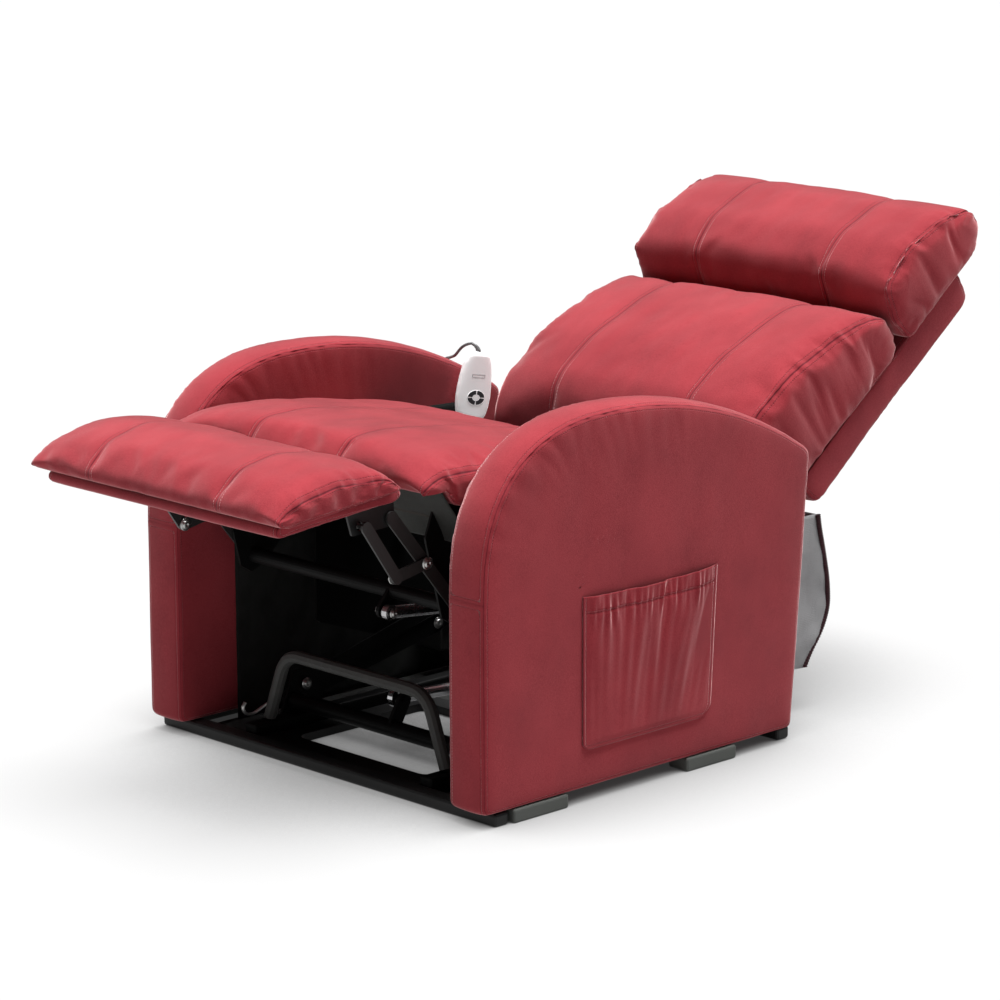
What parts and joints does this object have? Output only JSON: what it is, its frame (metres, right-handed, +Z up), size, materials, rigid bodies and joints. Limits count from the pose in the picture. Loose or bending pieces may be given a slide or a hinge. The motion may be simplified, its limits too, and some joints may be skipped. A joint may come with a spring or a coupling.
{
  "type": "riser recliner chair",
  "caption": "Power riser recliner with padded arms, sliding seat, folding footrest, reclining back, lift base, side pocket and corded hand control.",
  "frame": {"origin": "on the floor, under the middle of the floor frame's rear bar", "axes": "+Z up, the sitter faces -Y, the sitter's left is +X"},
  "size_m": [0.7416, 1.4306, 0.7196],
  "materials": {
    "suede": "bordeaux microsuede",
    "frame_cloth": "bordeaux microsuede over board",
    "black_steel": "black powder coat",
    "grey_steel": "dark grey paint",
    "link_steel": "phosphated steel",
    "black_plastic": "matte",
    "foot_plastic": "matte",
    "white_plastic": "satin",
    "button_rubber": "matte",
    "rod_chrome": "polished",
    "plywood": "bare plywood",
    "dust_cloth": "grey non-woven",
    "grey_rubber": "matte"
  },
  "bodies": {
    "base": {"base_front_tube": "black_steel", "base_floor_frame": "black_steel", "base_rear_tube": "black_steel", "base_u_bar": "grey_steel", "base_rail_left": "black_steel", "base_rail_right": "black_steel", "base_bracket_left": "black_steel", "base_bracket_right": "black_steel", "base_motor_bracket": "black_steel"},
    "lift_arms": {"lift_arm_left": "black_steel", "lift_arm_right": "black_steel", "lift_torque_tube": "black_steel"},
    "guide_links": {"guide_link_left": "black_steel", "guide_link_right": "black_steel"},
    "lift_actuator": {"lift_actuator_housing": "black_plastic"},
    "lift_rod": {"lift_actuator_rod": "rod_chrome"},
    "chair": {"arm_left": "suede", "arm_right": "suede", "arm_foot_front_left": "foot_plastic", "arm_foot_rear_left": "foot_plastic", "arm_foot_front_right": "foot_plastic", "arm_foot_rear_right": "foot_plastic", "chair_side_plate_left": "black_steel", "chair_side_plate_right": "black_steel", "chair_front_cross_bar": "black_steel", "chair_rear_cross_bar": "black_steel", "control_box": "black_plastic", "arm_pocket": "suede", "rear_dust_cover": "dust_cloth", "handset_shell": "white_plastic", "handset_strain_relief": "grey_rubber", "handset_cord": "grey_rubber"},
    "button_upper_right": {"handset_button_upper_right": "button_rubber"},
    "button_upper_left": {"handset_button_upper_left": "button_rubber"},
    "button_lower_left": {"handset_button_lower_left": "button_rubber"},
    "button_lower_right": {"handset_button_lower_right": "button_rubber"},
    "seat": {"seat_deck": "plywood", "seat_cushion": "suede", "seat_mechanism_plate_left": "black_steel", "seat_mechanism_plate_right": "black_steel"},
    "footrest_links": {"footrest_torque_tube": "grey_steel", "footrest_link_left": "link_steel", "footrest_link_right": "link_steel"},
    "footrest_couplers": {"footrest_coupler_left": "link_steel", "footrest_coupler_right": "link_steel"},
    "footrest_bars": {"footrest_bar_left": "link_steel", "footrest_bar_right": "link_steel"},
    "footrest": {"footrest_bracket_left": "black_steel", "footrest_bracket_right": "black_steel", "footrest_board": "frame_cloth", "footrest_cushion": "suede"},
    "back": {"back_frame": "frame_cloth", "back_cushion": "suede", "headrest_cushion": "suede", "back_hinge_arm_left": "black_steel", "back_hinge_arm_right": "black_steel"},
    "recline_actuator": {"recline_actuator_housing": "black_plastic"},
    "recline_rod": {"recline_actuator_rod": "rod_chrome"}
  },
  "joints": [
    {"name": "lift_arms_hinge", "type": "hinge", "parent": "base", "child": "lift_arms", "pos_m": [0, -0.222, 0.045], "axis": [1, 0, 0], "range_deg": [0, 60]},
    {"name": "chair_hinge", "type": "hinge", "parent": "lift_arms", "child": "chair", "pos_m": [0, 0.078, 0.105], "axis": [1, 0, 0], "range_deg": [-32, 0]},
    {"name": "guide_links_hinge", "type": "hinge", "parent": "base", "child": "guide_links", "pos_m": [0, -0.2, 0.066], "axis": [1, 0, 0], "range_deg": [0, 55.23]},
    {"name": "lift_actuator_hinge", "type": "hinge", "parent": "base", "child": "lift_actuator", "pos_m": [0, 0.213, 0.055], "axis": [1, 0, 0], "range_deg": [-0.12, 0]},
    {"name": "lift_rod_slide", "type": "slide", "parent": "lift_actuator", "child": "lift_rod", "axis": [0, -0.9975, 0.0701], "range_m": [0, 0.04503]},
    {"name": "back_hinge", "type": "hinge", "parent": "chair", "child": "back", "pos_m": [0, 0.178, 0.25], "axis": [1, 0, 0], "range_deg": [0, 43], "deforming": ["rear_dust_cover"]},
    {"name": "footrest_hinge", "type": "hinge", "parent": "footrest_links", "child": "footrest", "pos_m": [0, -0.406, 0.421], "axis": [1, 0, 0], "range_deg": [0, 99]},
    {"name": "seat_slide", "type": "slide", "parent": "chair", "child": "seat", "axis": [0, 1, 0], "range_m": [0, 0.065]},
    {"name": "footrest_links_hinge", "type": "hinge", "parent": "seat", "child": "footrest_links", "pos_m": [0, -0.286, 0.275], "axis": [1, 0, 0], "range_deg": [-14, 0]},
    {"name": "footrest_couplers_hinge", "type": "hinge", "parent": "footrest_links", "child": "footrest_couplers", "pos_m": [0, -0.3469, 0.3491], "axis": [1, 0, 0], "range_deg": [0, 90.19]},
    {"name": "footrest_bars_hinge", "type": "hinge", "parent": "footrest_couplers", "child": "footrest_bars", "pos_m": [0, -0.405, 0.338], "axis": [1, 0, 0], "range_deg": [-87.29, 0]},
    {"name": "button_upper_right_press", "type": "slide", "parent": "chair", "child": "button_upper_right", "axis": [-0.9763, 0.2164, 0], "range_m": [0, 0.0008], "stiffness_N_per_m": 900},
    {"name": "button_upper_left_press", "type": "slide", "parent": "chair", "child": "button_upper_left", "axis": [-0.9763, 0.2164, 0], "range_m": [0, 0.0008], "stiffness_N_per_m": 900},
    {"name": "button_lower_left_press", "type": "slide", "parent": "chair", "child": "button_lower_left", "axis": [-0.9763, 0.2164, 0], "range_m": [0, 0.0008], "stiffness_N_per_m": 900},
    {"name": "button_lower_right_press", "type": "slide", "parent": "chair", "child": "button_lower_right", "axis": [-0.9763, 0.2164, 0], "range_m": [0, 0.0008], "stiffness_N_per_m": 900},
    {"name": "recline_actuator_hinge", "type": "hinge", "parent": "chair", "child": "recline_actuator", "pos_m": [0, 0.243, 0.19], "axis": [1, 0, 0], "range_deg": [-1.42, 0]},
    {"name": "recline_rod_slide", "type": "slide", "parent": "recline_actuator", "child": "recline_rod", "axis": [0, -0.9941, 0.1084], "range_m": [-0.05844, 0]}
  ],
  "couplings": [
    {"joint": "chair_hinge", "follows": "lift_arms_hinge", "ratio": -0.53333},
    {"joint": "guide_links_hinge", "follows": "lift_arms_hinge", "ratio": 0.9205},
    {"joint": "lift_actuator_hinge", "follows": "lift_arms_hinge", "ratio": -0.002},
    {"joint": "lift_rod_slide", "follows": "lift_arms_hinge", "m_per_rad": 0.043},
    {"joint": "seat_slide", "follows": "footrest_hinge", "m_per_rad": 0.037618},
    {"joint": "footrest_links_hinge", "follows": "footrest_hinge", "ratio": -0.14141},
    {"joint": "footrest_couplers_hinge", "follows": "footrest_hinge", "ratio": 0.91101},
    {"joint": "footrest_bars_hinge", "follows": "footrest_hinge", "ratio": -0.88172},
    {"joint": "recline_actuator_hinge", "follows": "footrest_hinge", "ratio": -0.014328},
    {"joint": "recline_rod_slide", "follows": "footrest_hinge", "m_per_rad": -0.033823}
  ]
}
